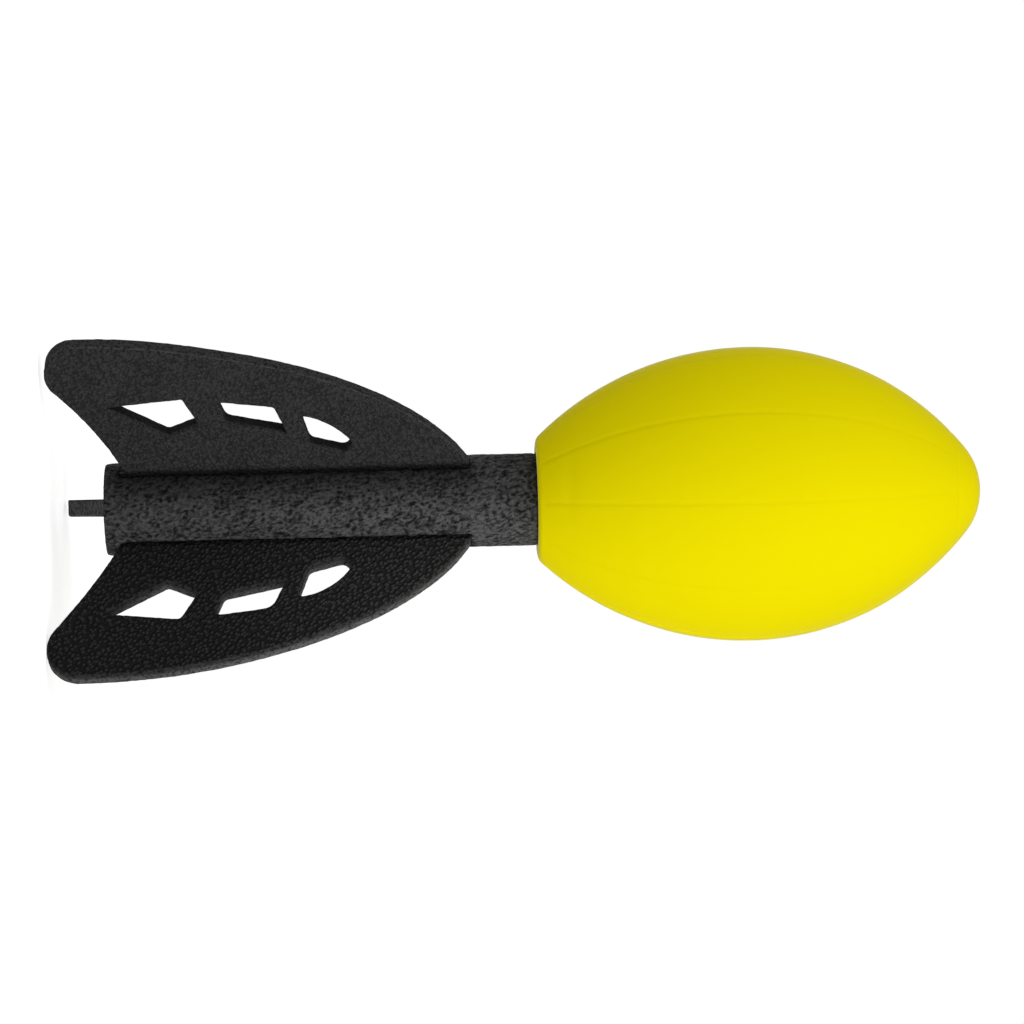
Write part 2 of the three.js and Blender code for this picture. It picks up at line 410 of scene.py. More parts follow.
def rod_foam(size, fins):
    """Crinkled skin of extruded foam: short worm-like ridges, and painted light and shade round the fins."""
    paint = fresh_paint("rod_foam")
    place = paint.place()
    x, y, z = paint.parts(place)
    twist = 10.0  # radians per metre by which the ridges lean round the rod
    along = paint.scaled(paint.turned(place, z * twist), (1.0, 1.0, 0.72))
    warp = paint.noise(along, pitch=0.0026, detail=1.0, out="Color")
    bent = paint.shifted(along, warp, 0.0009)
    ridges = paint.noise(bent, pitch=0.00104, roughness=0.62)
    middle = paint.noise(bent, pitch=0.0021, detail=1.0) - 0.5
    worms = 1 - paint.maths("ABSOLUTE", middle) * 6.0
    patches = paint.noise(along, pitch=0.006)
    # Mostly the bump's own ridges: real mottling, with painted shade in the hollows and painted highlight on
    # the ridges
    tone = paint.between(ridges * 0.75 + worms * 0.08 + patches * 0.17, 0.33, 0.68)
    sector = paint.maths("ARCTAN2", y, x) - fins.first
    sector = paint.maths("FLOORED_MODULO", sector, FIN_STEP)
    front = fins.root_rear + fins.root_length
    beside = paint.between(z, fins.root_rear - 0.003, fins.root_rear)
    beside = beside * paint.between(z, front, front + 0.004, 1.0, 0.0)
    # Painted shadow beside each fin on one side, and painted light just before the next fin
    corner = paint.between(sector, 0.2, 1.45, 0.3, 1.0) * paint.between(sector, 1.66, 1.85, 1.0, 1.5)
    # Painted shade on the neck's -x side and painted light on its +x side
    neck_shade = paint.between(x, -0.004, 0.005, 0.72, 1.0) * paint.between(x, 0.008, 0.015, 1.0, 1.4)
    # Between the fins the painted sector light and shade hold, elsewhere the neck's; the whole rod grows
    # darker towards its tail end
    shade = (beside * corner + (1 - beside) * neck_shade) * paint.between(z, 0.0, 0.13, 0.76, 1.0)
    crease_shade = paint.attribute("crease_shade")
    foam = paint.blend(tone, shaded(size.dark), shaded(size.light))
    # Painted shade where the skin rolls into a slot
    foam = paint.blend(shade * (1 - crease_shade**3 * 0.85), BLACK, foam)
    return paint.finish(
        Base_Color=foam,
        Roughness=paint.between(ridges, 0.3, 0.7, 0.85, 0.7),
        Specular_IOR_Level=0.04,
        Normal=paint.bump(ridges, 0.0005),
    )


def root_shade(paint, out, radius, width, dark):
    """Painted shade in the corner where a fin leaves the rod."""
    return paint.between(out, radius - 0.0002, radius + width, dark, 1.0)


def fine_skin(size, radius):
    """Finely grained side of the foam sheet, with many small specks, and painted shade along the root."""
    paint = fresh_paint("fin_foam_fine")
    flat = paint.attribute("sheet", "Vector")
    grain = paint.noise(flat, pitch=0.0013, roughness=0.65)
    specks = 1 - paint.between(paint.cells(flat, 0.00135, flat=True), 0.05, 0.7)
    patches = paint.noise(flat, pitch=0.02)
    tone = paint.between(grain * 0.7 + specks * 0.15 + patches * 0.15, 0.34, 0.66)
    skin = paint.blend(tone, shaded(size.fine, 0.4), shaded(size.fine))
    out = paint.parts(flat)[0]
    return paint.finish(
        Base_Color=paint.blend(root_shade(paint, out, radius, 0.0019, 0.25), BLACK, skin),
        Roughness=paint.between(grain, 0.3, 0.7, 0.75, 0.6),
        Specular_IOR_Level=0.05,
        Normal=paint.bump(grain * 0.5 + specks * 0.5, 0.0012),
    )


def pebbled_skin(size, radius):
    """Leather-like pebbled side of the foam sheet, its pebbles drawn out along one slant. Painted shade
    darkens it near the rod and along the root, and painted light makes the third fin's paler towards its
    front."""
    paint = fresh_paint("fin_foam_pebbled")
    flat = paint.attribute("sheet", "Vector")
    drawn = paint.scaled(paint.turned(flat, radians(-45)), (1.0, 0.74, 1.0))
    warp = paint.noise(drawn, pitch=0.003, detail=1.0, out="Color")
    middles = paint.cells(paint.shifted(drawn, warp, 0.0006), 0.00138, flat=True)
    pebbles = 1 - paint.between(middles, 0.02, 0.72)
    grain = paint.noise(flat, pitch=0.0007, detail=1.0)
    # Pale pebble tops and dark gaps, partly real tone and partly painted highlight and shade
    tone = paint.between(pebbles * 0.6 + grain * 0.4, 0.2, 0.8)
    out, along = paint.parts(flat)[:2]
    third = 2 * SHEET_STEP
    # Painted light: the third fin's grows paler towards its front; the other fins' stay at the darker end
    shade = paint.between(along, third + 0.02, third + 0.125, 0.88, 1.7)
    # Painted shade near the rod
    shade = shade * paint.between(out, radius, radius + 0.022, 0.86, 1.0)
    skin = paint.dimmed(paint.blend(tone, shaded(size.pebbled, 0.25), shaded(size.pebbled)), shade)
    return paint.finish(
        Base_Color=paint.blend(root_shade(paint, out, radius, 0.001, 0.5), BLACK, skin),
        Roughness=paint.between(pebbles, 0.2, 0.9, 0.8, 0.6),
        Specular_IOR_Level=0.05,
        Normal=paint.bump(pebbles * 0.85 + grain * 0.15, 0.0028),
    )


def cut_foam(size, name, painted_shade, ridge_highlight):
    """Die-cut edge of the sheet with its cells open, and painted light and shade: the first fin's is paler
    at its tip, the second's shaded but for a highlight beside the fine skin, and the third's shaded towards
    the pebbled skin."""
    paint = fresh_paint(name)
    place = paint.place()
    out, along, level = paint.parts(paint.attribute("sheet", "Vector"))
    open_cells = paint.cells(place, 0.0011)
    drag = paint.noise(place, pitch=0.0017, roughness=0.65)
    tone = paint.between(open_cells * 0.4 + drag * 0.6, 0.3, 0.6)
    third = paint.between(along, 1.7 * SHEET_STEP, 1.85 * SHEET_STEP)
    second = paint.between(along, 0.7 * SHEET_STEP, 0.85 * SHEET_STEP) - third
    # Painted light on the first fin's tip behind the rod; the rest of its edge a little darker
    shade = (1 - second - third) * paint.between(along, -0.001, 0.006, 1.25, 0.8)
    # Painted shade on the second fin's edges, with a painted highlight along the ridge beside the fine skin
    shade = shade + second * paint.between(level, 0.0013, 0.0022, painted_shade, ridge_highlight)
    # Painted shade on the third fin's edges towards the pebbled skin, and painted light towards its front
    front = paint.between(along, 2 * SHEET_STEP + 0.01, 2 * SHEET_STEP + 0.06, 1.0, 1.25)
    shade = shade + third * paint.between(level, -0.0022, 0.0006, 0.32, 1.0) * front
    return paint.finish(
        Base_Color=paint.dimmed(paint.blend(tone, shaded(size.cut, 0.22), shaded(size.cut)), shade),
        Roughness=0.85,
        Specular_IOR_Level=0.04,
        Normal=paint.bump(open_cells * 0.5 + drag * 0.5, 0.0004),
    )


def core_plastic():
    """Milky plastic of the hidden tube, with faint draw lines along it."""
    paint = fresh_paint("core_plastic")
    lines = paint.noise(paint.scaled(paint.place(), (1.0, 1.0, 0.02)), pitch=0.0008)
    base = paint.blend(lines, (0.72, 0.72, 0.7, 1.0), (0.8, 0.8, 0.78, 1.0))
    return paint.finish(Base_Color=base, Roughness=0.42, Normal=paint.bump(lines, 0.00004))


# Mesh code


def spread(start, end, steps):
    return [start + (end - start) * i / steps for i in range(steps + 1)]


def arc(x, y, radius, start, end, steps):
    return [(x + radius * cos(a), y + radius * sin(a)) for a in spread(start, end, steps)]


def ease(value, low, high):
    """0 below low, 1 above high, and smooth between."""
    part = min(1.0, max(0.0, (value - low) / (high - low)))
    return part * part * (3 - 2 * part)


def bell(offset, width):
    """1 at no offset, and falling softly to 0 on both sides."""
    return exp(-((offset / width) ** 2))


def lumps(point, *layers):
    """Unevenness at a point, from layers that each have a height and a number of lumps per metre."""
    return sum(height * noise.noise(point * rate) for height, rate in layers)


def smooth(mesh, sharp=38):
    """Shades a mesh smooth and keeps edges of more than sharp degrees crisp."""
    mesh.shade_smooth()
    mesh.set_sharp_from_angle(angle=radians(sharp))
    return mesh


def to_mesh(name, made):
    mesh = bpy.data.meshes.new(name)
    made.to_mesh(mesh)
    made.free()
    return mesh


def skin_mesh(name, made):
    """A closed skin, with its faces turned outwards and shaded smooth."""
    bmesh.ops.recalc_face_normals(made, faces=made.faces)
    return smooth(to_mesh(name, made))


def revolve(name, outline, angles, move):
    """A closed body of revolution from an outline that starts and ends on the axis.

    move takes a ring's number, a radius, a height and an angle, and gives the point itself."""
    made = bmesh.new()
    rings = []
    for i, (radius, height) in enumerate(outline):
        stops = angles if radius > ON_AXIS else angles[:1]
        rings.append([made.verts.new(move(i, radius, height, angle)) for angle in stops])
    for low, high in zip(rings, rings[1:]):
        for j in range(len(angles)):
            k = (j + 1) % len(angles)
            if len(low) == 1:
                made.faces.new((low[0], high[k], high[j]))
            elif len(high) == 1:
                made.faces.new((low[j], low[k], high[0]))
            else:
                made.faces.new((low[j], low[k], high[k], high[j]))
    return skin_mesh(name, made)


def normals_of(outline):
    """The outward normal at each point of an outline that runs from low to high."""
    out = []
    for i in range(len(outline)):
        before = outline[max(i - 1, 0)]
        after = outline[min(i + 1, len(outline) - 1)]
        along = Vector((after[0] - before[0], after[1] - before[1])).normalized()
        out.append(Vector((along.y, -along.x)))
    return out


def add_object(name, data):
    thing = bpy.data.objects.new(name, data)
    bpy.context.scene.collection.objects.link(thing)
    return thing


def dress(name, mesh, node, materials):
    """Puts a finished mesh on the toy in the place of its solid."""
    for material in materials:
        mesh.materials.append(material)
    thing = add_object(name, mesh)
    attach(thing, "root")
    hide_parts(node)


# Head

RING_ZONE = (0.0025, -0.0022)  # where the outline has close points, on both sides of the nose ring
RING_WIDTH = 0.0007
GROOVE_FADE = 0.003  # where a groove reaches its full depth, from the rear face or the nose ring
GROOVE_START = 0.0004  # where a groove starts, from the rear face
GROOVE_WEAR = (0.18, 0.27)  # heights between which the grooves grow shallower
SAG_WIDTH = 0.0055
DENT_RISE, DENT_HEIGHT, DENT_SPREAD = 0.0102, 0.0019, 0.36
PARTING_GROOVE = 2  # the parting line follows this groove and the one opposite
PARTING_WIDTH = 0.0008
PARTING_STEP = (0.2268, 0.2276)  # heights between which the parting line grows lower
HEAD_LUMPS = ((0.00012, 38), (0.00003, 170))


def head_outline(size):
    """The smooth outside of the head, from its rear face to the tip of the nose."""
    rear_x = size.radius - size.rear_arc
    rim_y = HEAD_LOW.z + size.rim_round
    rim_x = rear_x + sqrt((size.rear_arc - size.rim_round) ** 2 - (size.widest - rim_y) ** 2)
    rim_end = atan2(rim_y - size.widest, rim_x - rear_x)
    run = HEAD_HIGH.z - size.widest - size.nose_radius
    front_arc = (run**2 + size.radius**2 - size.nose_radius**2) / (2 * (size.radius - size.nose_radius))
    front_x = size.radius - front_arc
    nose_start = atan2(run, -front_x)
    ring = [acos((size.ring_radius + d - front_x) / front_arc) for d in RING_ZONE]
    return [
        *arc(rim_x, rim_y, size.rim_round, -pi / 2, rim_end, steps=10),
        *arc(rear_x, size.widest, size.rear_arc, rim_end, 0, steps=64)[1:],
        *arc(front_x, size.widest, front_arc, 0, ring[0], steps=56)[1:],
        *arc(front_x, size.widest, front_arc, ring[0], ring[1], steps=14)[1:],
        *arc(front_x, size.widest, front_arc, ring[1], nose_start, steps=4)[1:],
        *arc(0, size.widest + run, size.nose_radius, nose_start, pi / 2, steps=26)[1:-1],
        (0.0, HEAD_HIGH.z),
    ]


def panel_angles(size):
    """Directions around the head, close together at the grooves and even between them."""
    near_shares = [0, 0.005, 0.011, 0.018, 0.026, 0.036, 0.05, 0.07, 0.1]
    half = near_shares + spread(near_shares[-1], 0.5, 7)[1:]
    panel = half + [1 - part for part in reversed(half[1:-1])]
    step = tau / size.groove_count
    return [size.groove_turn + (k + part) * step for k in range(size.groove_count) for part in panel]


def head_sink(size, radius, height, angle):
    """How deep the skin lies under the smooth outline, and how much of that is groove."""
    step = tau / size.groove_count
    half_count = size.groove_count // 2
    turns = (angle - size.groove_turn) / step
    nearest = round(turns)
    off = abs(turns - nearest) * step * radius
    front = height > size.widest
    ended = ease(radius, size.ring_radius, size.ring_radius + GROOVE_FADE) if front else 1.0
    started = ease(height, HEAD_LOW.z + GROOVE_START, HEAD_LOW.z + GROOVE_FADE)
    uneven = 0.65 + 0.35 * cos((nearest + 1) * tau / 5)
    worn = uneven * (1 - 0.6 * ease(height, *GROOVE_WEAR))
    notch = (1 - ease(off, 0, size.groove_width / 2)) * ended * started * worn
    sink = size.groove_depth * notch
    sink += size.panel_sag * bell(off, SAG_WIDTH) * ended * started
    if front:
        sink += size.ring_depth * bell(radius - size.ring_radius, RING_WIDTH)
    beside = (angle - size.dent_turn + pi) % tau - pi
    sink += size.dent_depth * bell(height - HEAD_LOW.z - DENT_RISE, DENT_HEIGHT) * bell(beside, DENT_SPREAD)
    if nearest % half_count == PARTING_GROOVE % half_count:
        flash = 1 - 0.6 * ease(height, *PARTING_STEP)
        sink -= size.parting_height * flash * max(0.0, 1 - off / PARTING_WIDTH) * started
    return sink, notch


def head_mesh(size):
    """The head with its grooves, the seat for the rod and the blind bore for the core tube."""
    skin = head_outline(size)
    normals = normals_of(skin)
    seat = -ROD_LOW.x + GLUE_GAP
    seat_floor = ROD_HIGH.z + GLUE_GAP
    bore_end = CORE_HIGH.z + GLUE_GAP
    inside = [(0.0, bore_end), (CORE_BORE, bore_end), (CORE_BORE, seat_floor)]
    inside += [(seat, seat_floor), (seat, HEAD_LOW.z)]
    hollow = []

    def move(i, radius, height, angle):
        notch = 0.0
        if i >= len(inside):
            normal = normals[i - len(inside)]
            sunk, notch = head_sink(size, radius, height, angle)
            sunk += lumps(Vector((radius * cos(angle), radius * sin(angle), height)), *HEAD_LUMPS)
            if radius > ON_AXIS:
                radius -= sunk * normal.x
            height -= sunk * normal.y
        hollow.append(notch)
        return (radius * cos(angle), radius * sin(angle), height)

    mesh = revolve("head_skin", inside + skin, panel_angles(size), move)
    # The groove mask, which the material uses to paint shade into the grooves
    mesh.attributes.new("hollow", "FLOAT", "POINT").data.foreach_set("value", hollow)
    return mesh


class TOY_OT_head(Operator):
    """Mould the foam head"""

    bl_idname = "foam_toy.head"
    bl_label = "Head"

    def execute(self, context):
        size = context.scene.foam_head
        dress("head_moulding", head_mesh(size), "head", [head_foam(size)])
        return {"FINISHED"}


# Tail rod

LIP_FADE = 0.0015  # how far before and after a slot's ends its lips fade
SLOT_OVERRUN = 0.002  # how far the slot cutters stand out of the rod
END_GRAIN = 0.00012  # unevenness of the sawn rear end
CRINKLE = ((1.0, 420), (0.6, 800))
CRINKLE_DRAW = 0.55  # the crinkles are drawn out along the rod by the inverse of this


def slot_span(fins):
    """Where the slots start and end along the rod."""
    return fins.root_rear - fins.gap, fins.root_rear + fins.root_length + fins.gap


def lip(size, fins, point):
    """How far a point of the rod's skin is drawn towards a slot, from 0 to 1."""
    low, high = slot_span(fins)
    facing = round((atan2(point.y, point.x) - fins.first) / FIN_STEP) * FIN_STEP + fins.first
    off = abs(point.y * cos(facing) - point.x * sin(facing)) - fins.thickness / 2 - fins.gap
    after_start = ease(point.z, low - LIP_FADE, low + LIP_FADE)
    before_end = 1 - ease(point.z, high - LIP_FADE, high + LIP_FADE)
    width = size.lip_width * (1 + lumps(point, (0.9, 320)))
    return bell(max(off, 0), width) * min(after_start, before_end)


def rod_mesh(size, fins):
    """The rod with its eased ends, blind bore and crinkled skin. Slots are cut later."""
    rear, front = size.rear_round, size.front_round
    end = size.radius - size.rear_ease
    top = ROD_HIGH.z
    bore_end = CORE_LOW.z - GLUE_GAP
    hair = 0.0001
    outline = [
        *[(radius, 0.0) for radius in spread(0, end, 9)],
        *[(end + size.rear_ease * sin(a), rear * (1 - cos(a))) for a in spread(0.35, pi / 2, 6)[:-1]],
        *[(size.radius, height) for height in spread(rear, top - front, 250)],
        *arc(size.radius - front, top - front, front, 0, pi / 2, steps=7)[1:],
        *[(radius, top) for radius in spread(size.radius - front, CORE_BORE, 3)[1:]],
        (CORE_BORE, bore_end),
        (0.0, bore_end),
    ]

    def move(i, radius, height, angle):
        point = Vector((radius * cos(angle), radius * sin(angle), height))
        if radius < size.radius - front - hair and height > rear:
            return point
        if radius < end + hair:
            return point + Vector((0, 0, lumps(point, (END_GRAIN, 700)) + END_GRAIN))
        drawn = Vector((point.x, point.y, point.z * CRINKLE_DRAW))
        drawn_in = size.lip_pull * lip(size, fins, point)
        keep = (radius + size.crinkle * lumps(drawn, *CRINKLE) - drawn_in) / radius
        return Vector((point.x * keep, point.y * keep, point.z))

    return revolve("rod_skin", outline, spread(0, tau, 200)[:-1], move)


def slot_cutters(fins, radius):
    """Three boxes, as one mesh, where the root tabs go."""
    made = bmesh.new()
    out = radius + SLOT_OVERRUN
    low, high = slot_span(fins)
    for k in range(FIN_COUNT):
        stretch = Matrix.Diagonal((out - fins.slot_floor, fins.thickness + 2 * fins.gap, high - low, 1))
        centre = Matrix.Translation(((out + fins.slot_floor) / 2, 0, (low + high) / 2))
        spin = Matrix.Rotation(fins.first + k * FIN_STEP, 4, "Z")
        bmesh.ops.create_cube(made, size=1, matrix=spin @ centre @ stretch)
    return to_mesh("slot_cutters", made)


def cut_away(mesh, cutter):
    """mesh with cutter's solids taken out of it."""
    body = add_object("cut_body", mesh)
    tool = add_object("cut_tool", cutter)
    modifier = body.modifiers.new("slots", "BOOLEAN")
    modifier.operation, modifier.solver, modifier.object = "DIFFERENCE", "EXACT", tool
    graph = bpy.context.evaluated_depsgraph_get()
    result = bpy.data.meshes.new_from_object(body.evaluated_get(graph))
    for thing in (body, tool):
        bpy.data.objects.remove(thing)
    bpy.data.meshes.remove(cutter)
    return result


class TOY_OT_tail_rod(Operator):
    """Extrude the foam tail rod and cut its slots"""

    bl_idname = "foam_toy.tail_rod"
    bl_label = "Tail Rod"

    def execute(self, context):
        size, fins = context.scene.foam_rod, context.scene.foam_fins
        mesh = cut_away(rod_mesh(size, fins), slot_cutters(fins, size.radius))
        mesh.name = "rod_skin"
        # How far each point is drawn into a slot, kept for the painted shade there
        crease_shades = [lip(size, fins, vert.co) for vert in mesh.vertices]
        mesh.attributes.new("crease_shade", "FLOAT", "POINT").data.foreach_set("value", crease_shades)
        smooth(mesh, sharp=50)
        dress("tail_rod_foam", mesh, "tail_rod", [rod_foam(size, fins)])
        return {"FINISHED"}


class TOY_OT_core_tube(Operator):
    """Give the hidden core tube its finish"""

    bl_idname = "foam_toy.core_tube"
    bl_label = "Core Tube"

    def execute(self, context):
        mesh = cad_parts["core_tube"].data
        mesh.materials.clear()
        mesh.materials.append(core_plastic())
        return {"FINISHED"}


# Fins

TAB_SPACING, WINDOW_SPACING = 0.0025, 0.0013  # distance between the points of straight sides
TRAIL_START = 0.0002  # how far off the rod the trailing edge starts
RIM_INSET = 0.0005  # how far past its rounding an edge's first and last rings lie
EDGE_STRIPS = (3, 9, 4)  # an edge's strips of faces in pebbled skin, cut foam and fine skin
ROOT_ZONE = (-0.001, 0.004)  # from the rod's skin, where an edge's rounding grows to its full size
LEAN_ZONE = (0.0, 0.05)  # heights between which a fin's lean goes over to that of its front
SLOW_WAVE, QUICK_WAVE, CROSS_WAVE = 38, 71, 60  # bends of the sheet, in radians per metre
EDGE_SEED = Vector((7.3, 2.1, 0))
EDGE_LUMPS = ((1.0, 600), (0.7, 1400))
GRID, GRID_SHIFT = 0.005, 0.0003
GRID_SPANS = ((0, 0.009, 0.066), (2, -0.02, 0.126))  # the sheet's axes, and from where to where


def side_points(start, end, spacing):
    """Points from start up to but without end, about spacing apart."""
    start, end = Vector(start), Vector(end)
    steps = max(1, ceil((end - start).length / spacing))
    return [start.lerp(end, i / steps) for i in range(steps)]


def bezier(handles, steps):
    """Points of a straight line or of a quadratic or cubic curve, without its last."""
    points = []
    for part in spread(0, 1, steps)[:-1]:
        level = [Vector(handle) for handle in handles]
        while len(level) > 1:
            level = [a.lerp(b, part) for a, b in zip(level, level[1:])]
        points.append(level[0])
    return points


def fin_outline(fins, radius, number, reach):
    """A fin's outline, out from the axis and along it: tab, leading edge, tip, trailing edge."""
    rounding = fins.tip_round[number]
    front = fins.root_rear + fins.root_length
    tab = fins.slot_floor + fins.gap
    tip = Vector((reach - rounding, rounding - fins.overhang))
    crown = tip.y + fins.crown * fins.root_length
    lead = fins.lead_root * fins.root_length
    root = Vector((radius + TRAIL_START, fins.root_rear + fins.trim[number]))
    away = root - tip
    leave = atan2(away.y, away.x) + acos(rounding / away.length)
    outward = Vector((cos(leave), sin(leave)))
    end = tip + outward * rounding
    hollow = (end + root) / 2 - outward * 2 * fins.trail_sag[number]
    leading = [
        (radius, front),
        (radius + lead * sin(fins.front_angle), front - lead * cos(fins.front_angle)),
        (reach, crown + fins.lead_crown * fins.root_length),
        (reach, crown),
    ]
    return [
        *side_points((tab, fins.root_rear), (tab, front), TAB_SPACING),
        *side_points((tab, front), (radius, front), TAB_SPACING),
        *bezier(leading, 120),
        *[Vector(point) for point in arc(tip.x, tip.y, rounding, 0, leave - tau, steps=26)[:-1]],
        *bezier([end, hollow, root], 44),
        root,
        *side_points((radius, fins.root_rear), (tab, fins.root_rear), TAB_SPACING),
    ]


def window(fins, radius, flat, rounding, drift, lean, bow=0.0):
    """A window with small round corners. Its first side bows out by bow. The number of its points
    doesn't depend on the rounding."""
    height = fins.reach - radius
    flat = list(flat)
    points = [
        Vector((radius + lean + up * height, fins.root_rear + drift + along * fins.root_length))
        for along, up in zip(flat[::2], flat[1::2])
    ]
    across = points[1] - points[0]
    belly = (points[0] + points[1]) / 2 - Vector((-across.y, across.x)).normalized() * 2 * bow
    bends = []
    for i, corner in enumerate(points):
        before = belly if i == 1 else points[i - 1]
        after = belly if i == 0 else points[(i + 1) % len(points)]
        into = corner + (before - corner).normalized() * rounding
        onward = corner + (after - corner).normalized() * rounding
        bends.append([*bezier([into, corner, onward], 5), onward])
    path = []
    for i, bend in enumerate(bends):
        following = bends[(i + 1) % len(bends)][0]
        steps = ceil((points[(i + 1) % len(points)] - points[i]).length / WINDOW_SPACING)
        handles = [bend[-1], belly, following] if i == 0 else [bend[-1], following]
        path += bend[:-1] + bezier(handles, steps)
    return path


def fin_loops(fins, radius, number):
    """A fin's outline and its windows, each as a pair of loops: pebbled side and fine side."""
    drift = fins.drift[number]
    sides = []
    for rounds, lean, reach in (
        (fins.pebbled_rounds, fins.pebbled_lean[number], fins.reach),
        (fins.fine_rounds, fins.fine_lean[number], fins.reach - fins.edge_lean[number]),
    ):
        kite, slant, quarter = (fins.blunt[number] * rounding for rounding in rounds)
        sides.append([
            fin_outline(fins, radius, number, reach),
            window(fins, radius, fins.kite, kite, drift, lean),
            window(fins, radius, fins.slant, slant, drift, lean),
            window(fins, radius, fins.quarter, quarter, drift, lean, fins.quarter_bow),
        ])
    return zip(*sides)


def facings(loop, is_window):
    """At each point of a closed loop, the direction out of the sheet."""
    after = loop[1:] + loop[:1]
    area = sum(a.x * b.y - b.x * a.y for a, b in zip(loop, after))
    side = 1 if (area > 0) != is_window else -1
    out = []
    for i, onward in enumerate(after):
        along = (onward - loop[i - 1]).normalized()
        out.append(Vector((along.y, -along.x)) * side)
    return out


def edge_profile(fins, number):
    """Inset and level of an edge's rings, from the pebbled side to the fine side."""
    half = fins.thickness / 2
    roll, crisp = fins.edge_roll[number], fins.edge_round
    return [
        (roll + RIM_INSET, -half),
        *[(roll * (1 - sin(a)), -half + roll * (1 - cos(a))) for a in spread(0, pi / 2, 6)],
        *[(0, level) for level in spread(-half + roll, half - crisp, 5)[1:-1]],
        *[(crisp * (1 - sin(a)), half - crisp * (1 - cos(a))) for a in spread(pi / 2, 0, 3)],
        (crisp + RIM_INSET, half),
    ]


def add_edge(made, fins, radius, number, pair, is_window):
    """Adds the edge round the outline or a window, and gives its first and its last ring."""
    seed = EDGE_SEED * number
    inner, outer = (radius + off for off in ROOT_ZONE)
    rings = []
    for inset, level in edge_profile(fins, number):
        loop = [low.lerp(high, level / fins.thickness + 0.5) for low, high in zip(*pair)]
        ring = []
        for point, away in zip(loop, facings(loop, is_window)):
            deep = inset * (0.3 + 0.7 * ease(point.x, inner, outer))
            if abs(level) < fins.thickness / 2:
                deep += fins.edge_rough * lumps(Vector((point.x, level, point.y)) + seed, *EDGE_LUMPS)
            spot = point - away * deep
            ring.append(made.verts.new((spot.x, level, spot.y)))
        rings.append(ring)
    pebbled, cut, fine = EDGE_STRIPS
    skins = [PEBBLED] * pebbled + [WINDOW if is_window else CUT] * cut + [FINE] * fine
    for low, high, skin in zip(rings, rings[1:], skins):
        for quad in zip(low, low[1:] + low[:1], high[1:] + high[:1], high):
            made.faces.new(quad).material_index = skin
    return rings[0], rings[-1]


def fill_side(made, rims, skin):
    """Fills one flat side of the sheet, between its outline and its windows."""
    edges = [made.edges.get(ends) for rim in rims for ends in zip(rim, rim[1:] + rim[:1])]
    filled = bmesh.ops.triangle_fill(made, use_beauty=True, use_dissolve=False, edges=edges)
    for face in filled["geom"]:
        if isinstance(face, bmesh.types.BMFace):
            face.material_index = skin


def score(made):
    """Cuts the sheet's faces along an even grid, so that it can bend."""
    for axis, low, high in GRID_SPANS:
        for k in range(ceil(low / GRID), ceil(high / GRID)):
            place, facing = [0.0, 0.0, 0.0], [0.0, 0.0, 0.0]
            place[axis], facing[axis] = GRID * k + GRID_SHIFT, 1.0
            everything = [*made.verts, *made.edges, *made.faces]
            bmesh.ops.bisect_plane(made, geom=everything, dist=1e-6, plane_co=place, plane_no=facing)


def bend(made, fins, radius, number):
    """Bends the soft sheet a little and turns it to its slot. Gives where its points lay when flat."""
    spin = Matrix.Rotation(fins.first + number * FIN_STEP, 3, "Z")
    lift, front = fins.lift[number], fins.front_lift[number]
    sheet = []
    for vert in made.verts:
        point = vert.co
        sheet += [point.x, point.z + SHEET_STEP * number, point.y]
        up = max(0.0, (point.x - radius) / (fins.reach - radius))
        give = up * up * (3 - 2 * min(up, 1))
        slow = sin(point.z * SLOW_WAVE + 1.7 * number)
        quick = sin(point.z * QUICK_WAVE + point.x * CROSS_WAVE + number)
        point.x += give * (lift + (front - lift) * ease(point.z, *LEAN_ZONE))
        point.y += fins.warp * give * (slow * 0.6 + quick * 0.4)
        point.z += fins.sweep[number] * give
        vert.co = spin @ point
    return sheet


def fin_mesh(fins, radius, number):
    """One fin: crisp edges at its fine side, edges rolled over at its pebbled side, bent a little."""
    made = bmesh.new()
    rims = [
        add_edge(made, fins, radius, number, pair, is_window=i > 0)
        for i, pair in enumerate(fin_loops(fins, radius, number))
    ]
    for rim, skin in zip(zip(*rims), (PEBBLED, FINE)):
        fill_side(made, rim, skin)
    score(made)
    sheet = bend(made, fins, radius, number)
    mesh = skin_mesh(f"fin_{number + 1}_skin", made)
    mesh.attributes.new("sheet", "FLOAT_VECTOR", "POINT").data.foreach_set("vector", sheet)
    return mesh


class TOY_OT_fins(Operator):
    """Cut the three foam fins and set them in their slots"""

    bl_idname = "foam_toy.fins"
    bl_label = "Fins"

    def execute(self, context):
        fins, radius = context.scene.foam_fins, context.scene.foam_rod.radius
        skins = [
            fine_skin(fins, radius),
            pebbled_skin(fins, radius),
            # The die-cut edges, and the window walls with deeper painted shade on the second fin's
            cut_foam(fins, "fin_foam_cut", painted_shade=0.45, ridge_highlight=0.75),
            cut_foam(fins, "fin_foam_window", painted_shade=0.2, ridge_highlight=0.5),
        ]
        for number in range(FIN_COUNT):
            mesh = fin_mesh(fins, radius, number)
            dress(f"fin_{number + 1}_sheet", mesh, f"fin_{number + 1}", skins)
        return {"FINISHED"}


# Stage

LIGHT_AIM = Vector((0, 0, 0.14))
LIGHT_DISTANCE = 1.3
FLOOR_GAP = 0.0001  # how far the floor lies under the lowest point


def add_light(name, azimuth, elevation, size, radiance):
    """A square soft light that faces the toy. Azimuth 0 is on the camera's side."""
    lamp = bpy.data.lights.new(name, "AREA")
    lamp.shape, lamp.size = "SQUARE", size
    lamp.energy = radiance * pi * size * size
    thing = add_object(name, lamp)
    a, e = radians(azimuth), radians(elevation)
    towards = Vector((sin(a) * cos(e), -cos(a) * cos(e), sin(e)))
    thing.location = LIGHT_AIM + LIGHT_DISTANCE * towards
    thing.rotation_euler = towards.to_track_quat("Z", "Y").to_euler()
    thing.visible_camera = False


